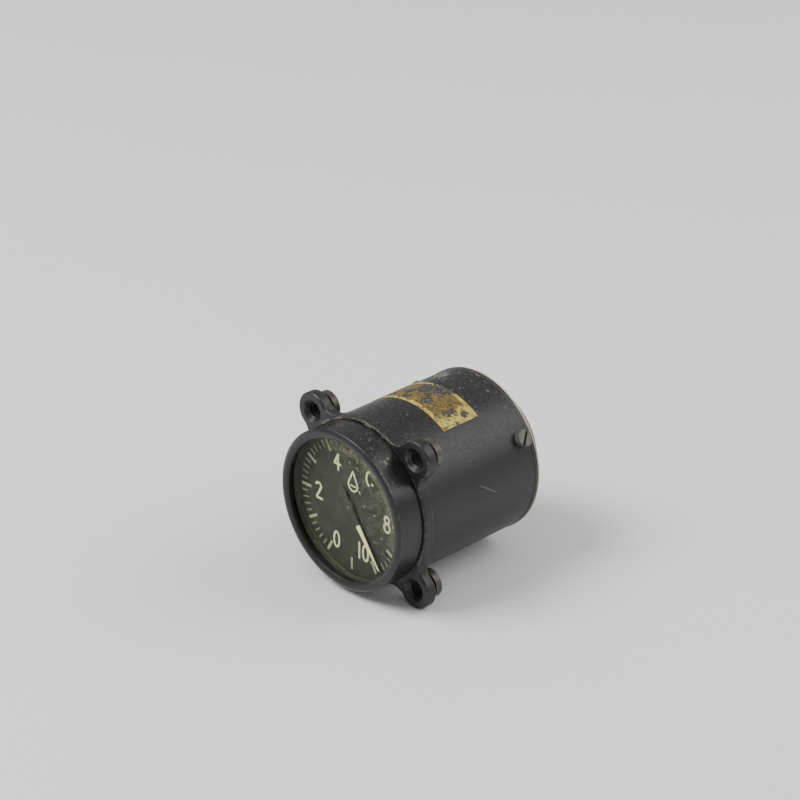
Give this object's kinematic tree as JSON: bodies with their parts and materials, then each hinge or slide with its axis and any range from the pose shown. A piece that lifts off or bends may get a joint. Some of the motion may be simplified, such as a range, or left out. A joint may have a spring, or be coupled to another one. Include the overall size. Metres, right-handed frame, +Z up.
{
  "type": "aircraft fuel gauge",
  "caption": "Panel-mounted electric fuel gauge: round case with lugs, domed bezel, glass, linear scale and a turning luminous pointer over a magnet-rotor movement.",
  "frame": {"origin": "on the gauge's axis, in the plane of the lugs' front faces, which seat behind the panel", "axes": "+Y rearwards along the axis, +Z up, +X to the right of someone reading the dial, who looks along +Y"},
  "size_m": [0.0638, 0.0832, 0.0639],
  "materials": {
    "case_paint": "satin black enamel, worn at the edges",
    "inner_black": "matt black",
    "dial_face": "matt black dial paint, greyed by dust",
    "lume": "aged luminous paint, matt",
    "clear_glass": "clear, dusty towards the rim",
    "seal_rubber": "matt",
    "old_brass": "dull, tarnished brown",
    "cover_paint": "satin black with a bare edge",
    "screw_steel": "dull grey plated steel",
    "label_foil": "worn gilt foil with brown and blue-black flakes",
    "phenolic": "moulded phenolic, satin",
    "terminal_brass": "lightly tarnished brass",
    "ruby": "polished",
    "bridge_alloy": "satin aluminium",
    "magnet_alloy": "ground magnet steel",
    "core_iron": "varnished laminations",
    "copper_wire": "enamelled copper wire",
    "sheet_copper": "plain copper",
    "pointer_black": "matt black",
    "weight_brass": "brass, painted matt black"
  },
  "bodies": {
    "instrument": {"bezel_ring": "case_paint", "cover_glass": "clear_glass", "glass_gasket": "seal_rubber", "spacer_ring": "inner_black", "dial_plate": "dial_face", "scale_marks": "lume", "case_body": "case_paint", "captive_nuts": "old_brass", "rear_cover": "cover_paint", "cover_screws": "screw_steel", "data_label": "label_foil", "terminal_block": "phenolic", "block_screws": "screw_steel", "terminal_studs": "terminal_brass", "terminal_washers": "terminal_brass", "terminal_nuts": "terminal_brass", "front_jewel": "ruby", "rear_jewel": "ruby", "front_bridge": "bridge_alloy", "chassis_screws": "screw_steel", "parking_magnet": "magnet_alloy", "front_spacers": "bridge_alloy", "stator_core": "core_iron", "stator_coils": "copper_wire", "rear_spacers": "bridge_alloy", "damping_cup": "sheet_copper", "rear_bridge": "bridge_alloy", "tie_bolts": "screw_steel", "stator_leads": "copper_wire"},
    "pointer_assembly": {"pointer_blade": "pointer_black", "pointer_lume": "lume", "pointer_hub": "weight_brass", "pointer_shaft": "screw_steel", "rotor_bush": "terminal_brass", "magnet_rotor": "magnet_alloy"}
  },
  "joints": [
    {"name": "pointer_spin", "type": "hinge", "parent": "instrument", "child": "pointer_assembly", "pos_m": [0, 0, 0], "axis": [0, 1, 0], "continuous": true}
  ]
}
